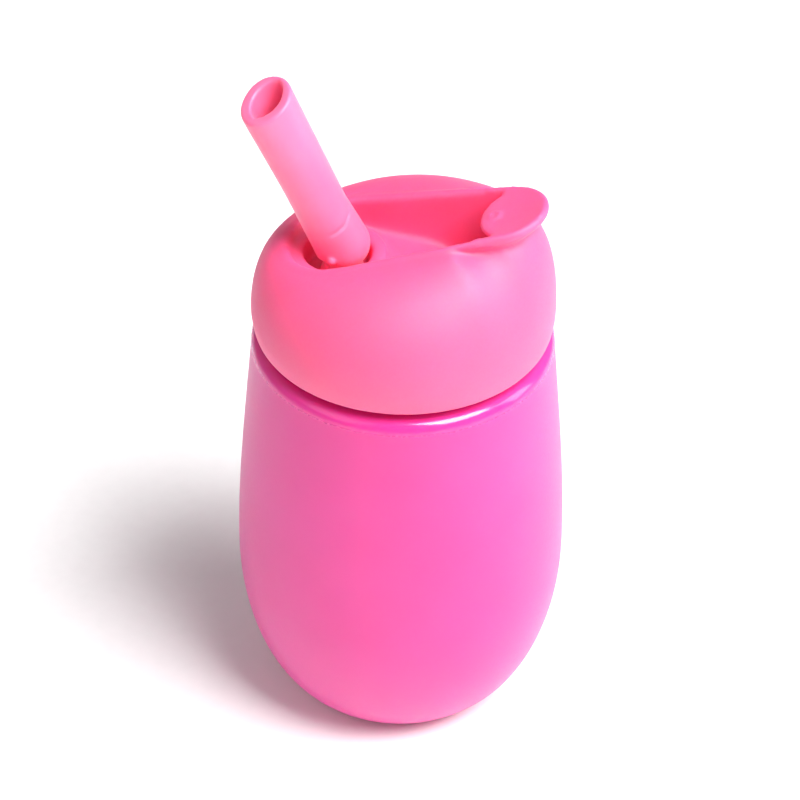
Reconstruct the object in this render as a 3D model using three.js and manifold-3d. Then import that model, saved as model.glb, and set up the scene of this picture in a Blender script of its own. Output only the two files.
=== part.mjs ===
// Toddler straw cup with a screw-on lid and a fold-away silicone straw.
// Millimetres. The cup stands on z = 0 with its axis on Z. +X runs from the straw to the thumb tab.

import * as THREE from 'three';
import { mergeVertices } from 'three/addons/utils/BufferGeometryUtils.js';
import Module from 'manifold-3d';

const wasm = await Module();
wasm.setup();

// ---- driving dimensions -------------------------------------------------------------------------

const GAP = 0.3; // clearance between pieces that touch
const AROUND = 64; // facets round a large turned surface

// cup body
const FOOT_R = 17.6; // radius of the flat that the cup stands on
const FOOT_RECESS_R = 13.5; // hollow under the base
const FOOT_RECESS_DEPTH = 0.8;
const BELLY_R = 37; // largest radius
const BELLY_Z = 40; // height of the largest radius
const SHOULDER_R = 33.3; // radius where the side turns into the shoulder
const SHOULDER_Z = 97.5;
const SHOULDER_ROUND = 2.8;
const SIDE_FULLNESS = 0.33; // share of the side's height over which it keeps its slope at each end
const SIDE_TAPER = 0.078; // radius lost per mm of height, just under the shoulder
const WALL = 1.8;
const BASE_THICK = 2.2;

// neck and screw thread
const NECK_R = 29;
const NECK_WALL = 2.2;
const NECK_H = 8.3; // neck height above the shoulder ledge
const THREAD_PITCH = 4; // rise in one full turn of the single thread
const THREAD_DEPTH = 1.1;
const THREAD_ROOM = 0.5; // from one thread's crest to the other piece's wall
const THREAD_BASE = 1.6; // ridge width at its root
const THREAD_CREST = 0.8;
const THREAD_TURN = 450; // degrees that the ridge runs round the neck
const THREAD_LOW = 2.1; // height of the neck ridge's low end above the ledge

// lid skirt and dome
const SEAM = 2; // open groove between the ledge and the lid's edge
const LID_EDGE_INSET = 0.7; // the lid's edge inside the shoulder's radius
const LID_MAX_INSET = 0.1; // and the lid's widest circle
const LID_EDGE_ROUND = 0.6;
const LID_MAX_UP = 4.7; // height of the lid's widest point above its edge
const LID_SEAT_INSET = 0.4; // how far the seat over the seal reaches inside the neck's bore
const LID_WALL = 2.3;
const DOME_FULLNESS = 0.53; // how far out the dome's curve stays on its way to the rim, out of 1
const DOME_FULLER_AT_TAB = 0.08; // added where the tab's overhang is formed
const DOME_FULLER_INSIDE = 0.07; // added where the rim is far inside the skirt
const DOME_ARRIVAL = 0.35; // steepness of the curve where it meets the rim, out of 1

// rim of the trough: two arcs joined by straight sides, on a surface that climbs towards the tab
const RIM_STRAW_R = 14.2;
const RIM_TAB_X = 21.4;
const RIM_TAB_R = 9.6;
const RIM_LOW_UP = 20; // height of the rim behind the straw, above the ledge
const RIM_CLIMB = 0.313; // rise per mm of run
const RIM_CLIMB_X = -25.6; // where the climb starts
const RIM_CLIMB_SOFT = 5; // length over which it starts
const RIM_LAND = 0.9; // thickness of the trough's wall, far above the rim
const TROUGH_TAPER = 1.9; // how much further in the trough's walls are at its floor than far above it
const RIM_ROUND = 0.5; // fall of the rim's rounded outer edge
const TAB_LIP = 2.6; // thickness of the tab's overhanging edge
const TAB_OVERHANG = 3;
const TAB_UNDERCUT = 2.5; // height of the hollow curve under the overhang

// trough, straw well and tongue
const FLOOR_UP = 17.3; // height of the trough's floor above the ledge
const FLOOR_DIP = 3; // how far the floor falls under the tongue
const FLOOR_DIP_FROM_X = 4;
const FLOOR_DIP_TO_X = 17;
const FLOOR_THICK = 2;
const WELL_BACK = 1.2; // the well's centre behind the straw's root
const WELL_R = 7.4;
const WELL_WALL = 1.9;
const WELL_BOTTOM_UP = 13.2; // height of the well's bottom above the ledge
const COLLAR_R = 10.8; // raised ring round the well
const COLLAR_H = 2;
const TONGUE_X = 25.8; // centre of the thumb tab's disc
const TONGUE_R = 9.4;
const TONGUE_THICK = 1.8;
const POCKET_FROM_X = 20; // the pocket under the tongue narrows from here to the tab
const POCKET_LOW_INSET = 1.8; // its walls' distance inside the rim's outline, at the floor
const POCKET_TOP_INSET = 4.8; // and under the tongue, where the overhang needs the thickness
const TAB_END_COSINE = 0.97; // cosines of the angles where the overhang is full, and where it is gone
const TAB_SIDE_COSINE = 0.78;
const TAB_DISH_R = 7.8;
const TAB_DISH_DEPTH = 0.8;
const VENT_R = 0.6;
const VENT_BACK = 6; // the vent's distance behind the straw's root

// silicone straw
const STRAW_ROOT_UP = 19.7; // height of the root of the straw's axis above the ledge
const STRAW_LEAN = 22.2; // degrees from upright, away from the tab
const STRAW_SIDE_LEAN = 3.4; // degrees from upright, towards -Y, as the soft straw has set
const STRAW_LENGTH = 43.4; // from STRAW_ROOT_Z to the tip
const STRAW_R = 5.7;
const BORE_HALF_LENGTH = 4.7; // the bore is an eye with two sharp corners
const BORE_HALF_WIDTH = 3.3;
const BORE_TWIST = 59; // degrees between the eye's long axis and the lean
const ELBOW_LENGTH = 10.7; // soft part above the root that kinks
const TIP_LENGTH = 13.2; // soft part that squeezes past the tongue
const BOOT_BULB_R = 5.9;
const BOOT_BULB_UP = 1.8; // the bulb's centre above the root
const BULB_UNDERCUT = 0.6; // slope under the bulb, down to the neck that sits in the lid
const BOOT_NECK_R = 4.3;
const BOOT_FLANGE_R = 8.5;
const BOOT_FLANGE_THICK = 1.5;
const BOOT_FLANGE_INSET = 4.9; // from the flange to the neck's bore
const NIPPLE_R = 2.9;
const NIPPLE_LENGTH = 7;
const BOOT_BORE_R = 1.9;

// dip tube and seal
const TUBE_R = 4.1;
const TUBE_WALL = 0.9;
const TUBE_GRIP = 5; // length pushed onto the nipple
const TUBE_CLEAR = 3; // from its lower end to the cup's floor
const TUBE_NOTCH = 4; // slope across its lower end
const SEAL_WIDTH = 3;
const SEAL_THICK = 1.9;

// ---- sizes that follow --------------------------------------------------------------------------

const NECK_BORE_R = NECK_R - NECK_WALL;
const LID_EDGE_R = SHOULDER_R - LID_EDGE_INSET;
const LID_MAX_R = SHOULDER_R - LID_MAX_INSET;
const LID_BORE_R = NECK_R + THREAD_DEPTH + THREAD_ROOM;
const LID_SEAT_R = NECK_BORE_R - LID_SEAT_INSET;
const STRAW_X = BOOT_FLANGE_R + BOOT_FLANGE_INSET - NECK_BORE_R; // the root of the straw's axis
const RIM_STRAW_X = STRAW_X;
const WELL_X = STRAW_X - WELL_BACK;
const VENT_X = STRAW_X - VENT_BACK;
const LEDGE_Z = SHOULDER_Z + SHOULDER_ROUND;
const RIM_LOW_Z = LEDGE_Z + RIM_LOW_UP;
const FLOOR_Z = LEDGE_Z + FLOOR_UP;
const WELL_BOTTOM_Z = LEDGE_Z + WELL_BOTTOM_UP;
const STRAW_ROOT_Z = LEDGE_Z + STRAW_ROOT_UP;
const NECK_TOP_Z = LEDGE_Z + NECK_H;
const LID_EDGE_Z = LEDGE_Z + SEAM;
const LID_MAX_Z = LID_EDGE_Z + LID_MAX_UP;
const SEAL_Z = NECK_TOP_Z + GAP;
const SEAT_Z = SEAL_Z + SEAL_THICK + GAP;
const COLLAR_Z = FLOOR_Z + COLLAR_H;
const WELL_FLOOR_UNDER_Z = WELL_BOTTOM_Z - FLOOR_THICK;
const ABOVE_LID = LEDGE_Z + 50; // top of every cut that opens upwards
const BEYOND = 40; // reach of every cut that runs out past the lid's side

// ---- geometry helpers ---------------------------------------------------------------------------

function solid(geometry) {
  geometry.deleteAttribute('normal');
  geometry.deleteAttribute('uv');
  const merged = mergeVertices(geometry, 1e-4);
  return new wasm.Manifold(new wasm.Mesh({
    numProp: 3,
    vertProperties: new Float32Array(merged.attributes.position.array),
    triVerts: new Uint32Array(merged.index.array),
  }));
}

function geometryOf(manifold) {
  const result = manifold.getMesh();
  const geometry = new THREE.BufferGeometry();
  geometry.setAttribute('position', new THREE.BufferAttribute(new Float32Array(result.vertProperties), 3));
  geometry.setIndex(new THREE.BufferAttribute(new Uint32Array(result.triVerts), 1));
  return geometry;
}

// A turned solid on the Z axis through (x, 0). The profile is a list of [radius, height].
function turned(profile, x = 0, segments = AROUND) {
  const points = profile.map(([r, z]) => new THREE.Vector2(r, z));
  const geometry = new THREE.LatheGeometry(points, segments);
  geometry.rotateX(Math.PI / 2);
  geometry.translate(x, 0, 0);
  return solid(geometry);
}

function disc(radius, low, high, x = 0, segments = AROUND) {
  return turned([[0, low], [radius, low], [radius, high], [0, high]], x, segments);
}

// A solid through closed rings of points. Each ring runs anticlockwise seen from above.
function loft(rings, lowCentre, highCentre) {
  const count = rings[0].length;
  const positions = rings.flat().flatMap((p) => [p.x, p.y, p.z]);
  const low = positions.length / 3;
  positions.push(lowCentre.x, lowCentre.y, lowCentre.z, highCentre.x, highCentre.y, highCentre.z);
  const faces = [];
  for (let i = 0; i < count; i++) {
    const next = (i + 1) % count;
    const top = (rings.length - 1) * count;
    faces.push(low, next, i);
    faces.push(low + 1, top + i, top + next);
    for (let k = 0; k < rings.length - 1; k++) {
      const here = k * count;
      faces.push(here + i, here + next, here + count + next);
      faces.push(here + i, here + count + next, here + count + i);
    }
  }
  const geometry = new THREE.BufferGeometry();
  geometry.setAttribute('position', new THREE.Float32BufferAttribute(positions, 3));
  geometry.setIndex(faces);
  return solid(geometry);
}

// A slab across Y, between two outlines given as heights over x.
function slab(lowAt, highAt, fromX, toX, halfWidth, steps = 24) {
  const shape = new THREE.Shape();
  const at = (k) => fromX + (toX - fromX) * k / steps;
  shape.moveTo(fromX, lowAt(fromX));
  for (let k = 1; k <= steps; k++) {
    shape.lineTo(at(k), lowAt(at(k)));
  }
  for (let k = steps; k >= 0; k--) {
    shape.lineTo(at(k), highAt(at(k)));
  }
  const geometry = new THREE.ExtrudeGeometry(shape, { depth: 2 * halfWidth, bevelEnabled: false });
  geometry.rotateX(Math.PI / 2);
  geometry.translate(0, halfWidth, 0);
  return solid(geometry);
}

// ---- rim and trough shapes ----------------------------------------------------------------------

function rimHeight(x) {
  const run = x - RIM_CLIMB_X;
  return RIM_LOW_Z + RIM_CLIMB * (run + Math.hypot(run, RIM_CLIMB_SOFT)) / 2;
}

function floorHeight(x) {
  const part = THREE.MathUtils.smoothstep(x, FLOOR_DIP_FROM_X, FLOOR_DIP_TO_X);
  return FLOOR_Z - FLOOR_DIP * part;
}

// Distance from the Z axis to the rim's outline, moved outwards by grow, along one direction.
function rimRadius(angle, grow = 0) {
  const direction = new THREE.Vector2(Math.cos(angle), Math.sin(angle));
  const arc = (x, r) => {
    const along = x * direction.x;
    const across = r * r - x * x * direction.y * direction.y;
    return across < 0 ? -Infinity : along + Math.sqrt(across);
  };
  const straw = RIM_STRAW_R + grow;
  const tab = RIM_TAB_R + grow;
  const tilt = Math.asin((straw - tab) / (RIM_TAB_X - RIM_STRAW_X));
  const normal = new THREE.Vector2(Math.sin(tilt), Math.cos(tilt));
  const side = new THREE.Vector2(Math.abs(direction.y), direction.x);
  const offset = RIM_STRAW_X * normal.x + straw;
  const facing = side.x * normal.y + side.y * normal.x;
  const line = facing > 0 ? offset / facing : Infinity;
  const reach = line * side.y;
  const startX = RIM_STRAW_X + straw * normal.x;
  const endX = RIM_TAB_X + tab * normal.x;
  if (reach > startX && reach < endX) {
    return line;
  }
  return direction.x < 0 ? arc(RIM_STRAW_X, straw) : arc(RIM_TAB_X, tab);
}

function angles(count = AROUND) {
  return Array.from({ length: count }, (_, i) => 2 * Math.PI * i / count);
}

// An upright prism on the rim's outline, moved outwards by grow.
function rimPrism(grow, low, high, taper = 0) {
  const ring = (z, change) => angles().map((a) => {
    const r = rimRadius(a, grow + change);
    return new THREE.Vector3(r * Math.cos(a), r * Math.sin(a), z);
  });
  const middle = (z) => new THREE.Vector3(0, 0, z);
  return loft([ring(low, -taper), ring(high, 0)], middle(low), middle(high));
}

// How far the tab's overhang is formed at one angle: 1 at the tab's end and 0 along the trough's sides.
function tabShare(angle) {
  return THREE.MathUtils.smoothstep(Math.cos(angle), TAB_SIDE_COSINE, TAB_END_COSINE);
}

// The dome's section at one angle round the axis: from the skirt up and in to just under the rim.
function domeCurve(angle, inset) {
  const share = tabShare(angle);
  const outlineR = rimRadius(angle);
  const topR = outlineR + RIM_ROUND - (TAB_OVERHANG + RIM_ROUND) * share - inset;
  const fall = RIM_ROUND + (TAB_LIP + TAB_UNDERCUT - RIM_ROUND) * share;
  const topZ = rimHeight(outlineR * Math.cos(angle)) - fall - inset;
  const skirtR = LID_MAX_R - inset;
  const rise = topZ - LID_MAX_Z;
  const arrival = DOME_ARRIVAL * rise * (outlineR / LID_MAX_R) ** 6;
  const inside = 1 - (outlineR / LID_MAX_R) ** 2;
  const bulge = DOME_FULLNESS + DOME_FULLER_AT_TAB * share + DOME_FULLER_INSIDE * inside;
  return new THREE.CubicBezierCurve(
    new THREE.Vector2(skirtR, LID_MAX_Z),
    new THREE.Vector2(skirtR, LID_MAX_Z + 0.5 * rise),
    new THREE.Vector2(topR + bulge * (skirtR - topR), topZ - arrival),
    new THREE.Vector2(topR, topZ),
  );
}

function aroundAxis(pointAt) {
  return angles().map((a) => {
    const p = pointAt(a);
    return new THREE.Vector3(p.x * Math.cos(a), p.x * Math.sin(a), p.y);
  });
}

function domeRings(inset, steps) {
  return Array.from({ length: steps + 1 }, (_, k) => (
    aroundAxis((a) => domeCurve(a, inset).getPoint(k / steps))
  ));
}

// The rim's edge, from the dome's top to the crest.
function rimRings() {
  const ring = (fallAt) => aroundAxis((a) => {
    const r = rimRadius(a);
    return new THREE.Vector2(r, rimHeight(r * Math.cos(a)) - fallAt(tabShare(a)));
  });
  const lipFall = (share) => RIM_ROUND / 2 + (TAB_LIP - RIM_ROUND / 2) * share;
  return [ring(lipFall), ring(() => 0)];
}

function levelRing(radius, z) {
  return angles().map((a) => new THREE.Vector3(radius * Math.cos(a), radius * Math.sin(a), z));
}

// ---- screw thread -------------------------------------------------------------------------------

// The thread's ridge on a cylinder. inwards is -1 for the neck's outside and 1 for the lid's bore.
function threadRidge(rootR, inwards, lowZ) {
  const steps = 40;
  const buried = 0.4;
  const rings = [];
  for (let k = 0; k <= steps; k++) {
    const angle = THREE.MathUtils.degToRad(THREAD_TURN) * k / steps;
    const z = lowZ + THREAD_PITCH * angle / (2 * Math.PI);
    const fade = Math.min(1, 6 * k / steps, 6 * (steps - k) / steps);
    const crestR = rootR - inwards * THREAD_DEPTH * Math.max(fade, 0.1);
    const backR = rootR + inwards * buried;
    const section = [
      [backR, -THREAD_BASE / 2],
      [crestR, -THREAD_CREST / 2],
      [crestR, THREAD_CREST / 2],
      [backR, THREAD_BASE / 2],
    ];
    const ring = section.map(([r, up]) => (
      new THREE.Vector3(r * Math.cos(angle), r * Math.sin(angle), z + up)
    ));
    rings.push(inwards < 0 ? ring.reverse() : ring);
  }
  const middle = (ring) => ring.reduce((sum, p) => sum.clone().add(p)).divideScalar(ring.length);
  return loft(rings, middle(rings[0]), middle(rings[steps]));
}

// ---- cup body -----------------------------------------------------------------------------------

// The side from the foot to the shoulder, moved inwards by inset.
function cupSide(inset, steps) {
  const bowl = new THREE.EllipseCurve(
    FOOT_R, BELLY_Z, BELLY_R - FOOT_R - inset, BELLY_Z - inset, -Math.PI / 2, 0, false,
  );
  const climb = SIDE_FULLNESS * (SHOULDER_Z - BELLY_Z);
  const side = new THREE.CubicBezierCurve(
    new THREE.Vector2(BELLY_R - inset, BELLY_Z),
    new THREE.Vector2(BELLY_R - inset, BELLY_Z + climb),
    new THREE.Vector2(SHOULDER_R - inset + SIDE_TAPER * climb, SHOULDER_Z - climb),
    new THREE.Vector2(SHOULDER_R - inset, SHOULDER_Z),
  );
  const points = [...bowl.getPoints(steps), ...side.getPoints(steps).slice(1)];
  return points.map((p) => [p.x, p.y]);
}

function cupBody() {
  const shoulder = new THREE.EllipseCurve(
    SHOULDER_R - SHOULDER_ROUND, SHOULDER_Z, SHOULDER_ROUND, SHOULDER_ROUND, 0, Math.PI / 2, false,
  );
  const outside = [
    [0, FOOT_RECESS_DEPTH],
    [FOOT_RECESS_R, FOOT_RECESS_DEPTH],
    [FOOT_RECESS_R + FOOT_RECESS_DEPTH, 0],
    ...cupSide(0, 10),
    ...shoulder.getPoints(4).slice(1).map((p) => [p.x, p.y]),
    [NECK_R, LEDGE_Z],
    [NECK_R, NECK_TOP_Z],
  ];
  const inside = [
    [NECK_BORE_R, NECK_TOP_Z],
    [NECK_BORE_R, LEDGE_Z - WALL],
    ...cupSide(WALL, 6).reverse().filter(([, z]) => z < SHOULDER_Z - 1 && z > BASE_THICK + 0.4),
    [FOOT_R, BASE_THICK],
    [0, BASE_THICK],
  ];
  const shell = turned([...outside, ...inside]);
  return shell.add(threadRidge(NECK_R, -1, LEDGE_Z + THREAD_LOW));
}

// ---- lid ----------------------------------------------------------------------------------------

function strawWell() {
  return disc(WELL_R, WELL_BOTTOM_Z, ABOVE_LID, WELL_X);
}

// Everything open above the trough's floor, inside its walls.
function troughSpace() {
  const lowest = FLOOR_Z - FLOOR_DIP - 1;
  const block = rimPrism(-RIM_LAND, lowest, ABOVE_LID, TROUGH_TAPER);
  const floor = slab(() => lowest - 1, floorHeight, -BEYOND, BEYOND, BEYOND, 40);
  const collar = disc(COLLAR_R, lowest - 1, COLLAR_Z, WELL_X);
  const underTongue = (x) => rimHeight(x) - TONGUE_THICK;
  const tongue = slab(underTongue, () => ABOVE_LID + 1, 0, BEYOND, BEYOND)
    .intersect(disc(TONGUE_R, lowest - 1, ABOVE_LID + 1, TONGUE_X));
  const tabEnd = slab(() => lowest - 1, () => ABOVE_LID + 1, POCKET_FROM_X, BEYOND, BEYOND, 1);
  const taper = POCKET_LOW_INSET - POCKET_TOP_INSET;
  const pocket = rimPrism(-POCKET_TOP_INSET, lowest - 1, underTongue(RIM_TAB_X + RIM_TAB_R), taper);
  return block
    .subtract(floor)
    .subtract(collar)
    .subtract(tongue)
    .subtract(tabEnd.subtract(pocket))
    .add(strawWell());
}

// The trough with its own walls, which stand in the dome's hollow.
function troughCasing() {
  const lowest = FLOOR_Z - FLOOR_DIP - FLOOR_THICK - 1;
  const block = rimPrism(LID_WALL - RIM_LAND, lowest, ABOVE_LID, TROUGH_TAPER);
  const below = slab(() => lowest - 1, (x) => floorHeight(x) - FLOOR_THICK, -BEYOND, BEYOND, BEYOND, 40);
  const well = disc(WELL_R + WELL_WALL, WELL_FLOOR_UNDER_Z, ABOVE_LID, WELL_X);
  return block.subtract(below).add(well);
}

function tabDish() {
  const sphereR = (TAB_DISH_R ** 2 + TAB_DISH_DEPTH ** 2) / (2 * TAB_DISH_DEPTH);
  const geometry = new THREE.SphereGeometry(sphereR, 64, 48);
  const up = new THREE.Vector3(-RIM_CLIMB, 0, 1).normalize();
  const lift = sphereR - TAB_DISH_DEPTH;
  geometry.translate(RIM_TAB_X + lift * up.x, 0, rimHeight(RIM_TAB_X) + lift * up.z);
  return solid(geometry);
}

function lidShell() {
  const rimMiddle = (drop) => new THREE.Vector3(0, 0, rimHeight(0) - drop);
  const outer = loft(
    [
      levelRing(LID_EDGE_R, LID_EDGE_Z),
      levelRing((LID_EDGE_R + LID_MAX_R) / 2 + 0.1, LID_EDGE_Z + LID_EDGE_ROUND),
      ...domeRings(0, 10),
      ...rimRings(),
    ],
    new THREE.Vector3(0, 0, LID_EDGE_Z),
    rimMiddle(0),
  );
  const hollow = loft(
    [levelRing(LID_MAX_R - LID_WALL, LID_EDGE_Z), ...domeRings(LID_WALL, 6)],
    new THREE.Vector3(0, 0, LID_EDGE_Z),
    rimMiddle(LID_WALL),
  ).intersect(disc(LID_SEAT_R, LID_EDGE_Z, ABOVE_LID));
  const bore = disc(LID_BORE_R, LID_EDGE_Z - 1, SEAT_Z);
  const bootHole = disc(BOOT_NECK_R + GAP, WELL_FLOOR_UNDER_Z - 1, WELL_BOTTOM_Z + 1, STRAW_X, 32);
  const vent = disc(VENT_R, WELL_FLOOR_UNDER_Z - 1, WELL_BOTTOM_Z + 1, VENT_X, 12);
  return outer
    .subtract(hollow.subtract(troughCasing()))
    .subtract(bore)
    .subtract(troughSpace())
    .subtract(tabDish())
    .subtract(bootHole)
    .subtract(vent)
    .add(threadRidge(LID_BORE_R, 1, LEDGE_Z + THREAD_LOW + THREAD_PITCH / 2));
}

// ---- seal ---------------------------------------------------------------------------------------

function lidSeal() {
  const top = SEAL_Z + SEAL_THICK;
  const inner = NECK_R - SEAL_WIDTH;
  return turned([[inner, SEAL_Z], [NECK_R, SEAL_Z], [NECK_R, top], [inner, top], [inner, SEAL_Z]]);
}

// ---- silicone straw -----------------------------------------------------------------------------

const UP = new THREE.Vector3(0, 0, 1);
const STRAW_AXIS = new THREE.Vector3(
  -Math.tan(THREE.MathUtils.degToRad(STRAW_LEAN)),
  -Math.tan(THREE.MathUtils.degToRad(STRAW_SIDE_LEAN)),
  1,
).normalize();

// Moves a geometry built on +Z from the origin onto the straw's axis.
function alongStraw(geometry) {
  geometry.applyQuaternion(new THREE.Quaternion().setFromUnitVectors(UP, STRAW_AXIS));
  geometry.translate(STRAW_X, 0, STRAW_ROOT_Z);
  return geometry;
}

function eyeOutline(path, grow = 0) {
  const half = BORE_HALF_LENGTH + grow;
  const wide = BORE_HALF_WIDTH + grow;
  const radius = (half * half + wide * wide) / (2 * wide);
  const sweep = Math.asin(half / radius);
  const twist = THREE.MathUtils.degToRad(BORE_TWIST);
  const side = (sign) => Array.from({ length: 8 }, (_, k) => {
    const a = -sweep + 2 * sweep * k / 8;
    const x = sign * radius * Math.sin(a);
    const y = sign * (wide - radius + radius * Math.cos(a));
    return new THREE.Vector2(
      x * Math.cos(twist) - y * Math.sin(twist),
      x * Math.sin(twist) + y * Math.cos(twist),
    );
  });
  path.setFromPoints([...side(1), ...side(-1)].reverse());
  return path;
}

function strawPiece(from, to) {
  const shape = new THREE.Shape();
  shape.absarc(0, 0, STRAW_R, 0, 2 * Math.PI, false);
  shape.holes.push(eyeOutline(new THREE.Path()));
  const geometry = new THREE.ExtrudeGeometry(
    shape, { depth: to - from, bevelEnabled: false, curveSegments: 20 },
  );
  geometry.translate(0, 0, from);
  return solid(alongStraw(geometry));
}

function strawBoot() {
  const flangeTop = WELL_FLOOR_UNDER_Z - GAP;
  const flangeLow = flangeTop - BOOT_FLANGE_THICK;
  const grooveTop = WELL_BOTTOM_Z + GAP;
  const stem = turned([
    [0, flangeLow - NIPPLE_LENGTH],
    [NIPPLE_R, flangeLow - NIPPLE_LENGTH],
    [NIPPLE_R, flangeLow],
    [BOOT_FLANGE_R, flangeLow],
    [BOOT_FLANGE_R, flangeTop],
    [BOOT_NECK_R, flangeTop],
    [BOOT_NECK_R, grooveTop],
    [BOOT_BULB_R, grooveTop + BULB_UNDERCUT],
    [BOOT_BULB_R, STRAW_ROOT_Z + BOOT_BULB_UP],
    [0, STRAW_ROOT_Z + BOOT_BULB_UP],
  ], STRAW_X, 40);
  const bulb = new THREE.SphereGeometry(BOOT_BULB_R, 32, 20);
  bulb.translate(STRAW_X, 0, STRAW_ROOT_Z + BOOT_BULB_UP);
  const elbow = new THREE.CylinderGeometry(STRAW_R, STRAW_R, ELBOW_LENGTH - 1, 40);
  elbow.rotateX(Math.PI / 2);
  elbow.translate(0, 0, (ELBOW_LENGTH + 1) / 2);
  const eye = new THREE.ExtrudeGeometry(
    eyeOutline(new THREE.Shape()), { depth: ELBOW_LENGTH, bevelEnabled: false },
  );
  eye.translate(0, 0, 2);
  const wellRoom = disc(WELL_R - GAP, WELL_BOTTOM_Z, COLLAR_Z + GAP, WELL_X)
    .add(disc(COLLAR_R * 2, COLLAR_Z + GAP, ABOVE_LID, WELL_X))
    .add(disc(BOOT_FLANGE_R + 1, 0, grooveTop, STRAW_X));
  return stem
    .add(solid(bulb))
    .add(solid(alongStraw(elbow)))
    .intersect(wellRoom)
    .subtract(disc(BOOT_BORE_R, 0, STRAW_ROOT_Z + 3, STRAW_X, 24))
    .subtract(solid(alongStraw(eye)));
}

// ---- dip tube -----------------------------------------------------------------------------------

function dipTube() {
  const nippleLow = WELL_FLOOR_UNDER_Z - GAP - BOOT_FLANGE_THICK - NIPPLE_LENGTH;
  const top = nippleLow + TUBE_GRIP;
  const low = BASE_THICK + TUBE_CLEAR;
  const inner = TUBE_R - TUBE_WALL;
  const tube = turned(
    [[inner, low], [TUBE_R, low], [TUBE_R, top], [inner, top], [inner, low]], STRAW_X, 32,
  );
  const slope = TUBE_NOTCH / (2 * TUBE_R);
  const notch = slab(
    () => low - TUBE_NOTCH,
    (x) => low + slope * (x - STRAW_X + TUBE_R),
    STRAW_X - 2 * TUBE_R,
    STRAW_X + 2 * TUBE_R,
    2 * TUBE_R,
    1,
  );
  return tube.subtract(notch);
}

// ---- assembly -----------------------------------------------------------------------------------

function material(color, roughness) {
  return new THREE.MeshStandardMaterial({ color, roughness, metalness: 0 });
}

const FROSTED_PINK = material(0xf07ba6, 0.4);
const LID_PINK = material(0xf4719c, 0.45);
const STRAW_PINK = material(0xfb90bd, 0.35);
const CLEAR_SILICONE = material(0xf4e6ea, 0.4);
const TUBE_WHITE = material(0xf6f0f0, 0.3);

const rigidFrom = ELBOW_LENGTH + GAP;
const rigidTo = STRAW_LENGTH - TIP_LENGTH;

const cup = new THREE.Group();

function place(name, manifold, finish) {
  const mesh = new THREE.Mesh(geometryOf(manifold), finish);
  mesh.name = name;
  cup.add(mesh);
}

place('cup_body', cupBody(), FROSTED_PINK);
place('lid_shell', lidShell(), LID_PINK);
place('lid_seal', lidSeal(), CLEAR_SILICONE);
place('straw_boot', strawBoot(), STRAW_PINK);
place('straw_tube', strawPiece(rigidFrom, rigidTo - GAP / 2), STRAW_PINK);
place('straw_tip', strawPiece(rigidTo + GAP / 2, STRAW_LENGTH), STRAW_PINK);
place('dip_tube', dipTube(), TUBE_WHITE);

export default cup;
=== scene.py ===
import math

import bpy
import numpy as np
from mathutils import Matrix, Vector


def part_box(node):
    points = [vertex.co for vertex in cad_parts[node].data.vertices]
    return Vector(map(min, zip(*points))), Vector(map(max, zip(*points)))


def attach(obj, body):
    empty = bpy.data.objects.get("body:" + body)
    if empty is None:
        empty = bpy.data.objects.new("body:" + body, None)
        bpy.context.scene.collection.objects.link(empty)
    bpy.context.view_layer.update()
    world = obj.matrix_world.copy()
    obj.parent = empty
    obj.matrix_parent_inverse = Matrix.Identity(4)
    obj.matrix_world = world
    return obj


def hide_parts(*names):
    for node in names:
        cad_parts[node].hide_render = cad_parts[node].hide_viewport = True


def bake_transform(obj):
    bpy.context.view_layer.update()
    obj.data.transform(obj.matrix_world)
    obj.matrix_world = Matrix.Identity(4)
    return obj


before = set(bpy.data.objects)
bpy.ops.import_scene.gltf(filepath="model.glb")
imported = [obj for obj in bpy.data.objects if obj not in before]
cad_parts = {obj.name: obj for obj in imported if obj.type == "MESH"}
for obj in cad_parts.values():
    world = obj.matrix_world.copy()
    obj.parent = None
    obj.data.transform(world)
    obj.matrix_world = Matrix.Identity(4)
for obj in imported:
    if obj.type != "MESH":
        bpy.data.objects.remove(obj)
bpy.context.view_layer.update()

# Shapes are worked out in millimetres, in the frame's axes, and become metres when a mesh is made.
MM = 0.001
AROUND = 256  # points round a large turned surface
GAP = 0.3  # clearance between pieces that lie against each other


def box_mm(node):
    low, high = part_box(node)
    return low / MM, high / MM


# ---- sizes --------------------------------------------------------------------------------------

cup_high = box_mm("cup_body")[1]
lid_low, lid_high = box_mm("lid_shell")
seal_low, seal_high = box_mm("lid_seal")
tube_low, tube_high = box_mm("dip_tube")
boot_low, boot_high = box_mm("straw_boot")

# cup body
BELLY_R = cup_high.y
BELLY_Z = 40.0
FOOT_R = 17.6
FOOT_HOLLOW_R = 13.5
FOOT_HOLLOW_DEPTH = 0.8
SHOULDER_R = 33.3
SHOULDER_Z = 97.5
SHOULDER_ROUND = 2.8
SIDE_TAPER = 0.078
SIDE_FULLNESS = 0.33
WALL = 1.8
BASE_THICK = 2.2
LEDGE_Z = SHOULDER_Z + SHOULDER_ROUND
NECK_R = 29.0
NECK_WALL = 2.2
NECK_TOP_Z = cup_high.z

# screw thread, one ridge
THREAD_PITCH = 4.0
THREAD_DEPTH = 1.1
THREAD_BASE = 1.6
THREAD_CREST = 0.8
THREAD_TURN = math.radians(450)
THREAD_LOW_Z = LEDGE_Z + 2.1
THREAD_STEP = 0.22  # height between two rings of points

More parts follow.
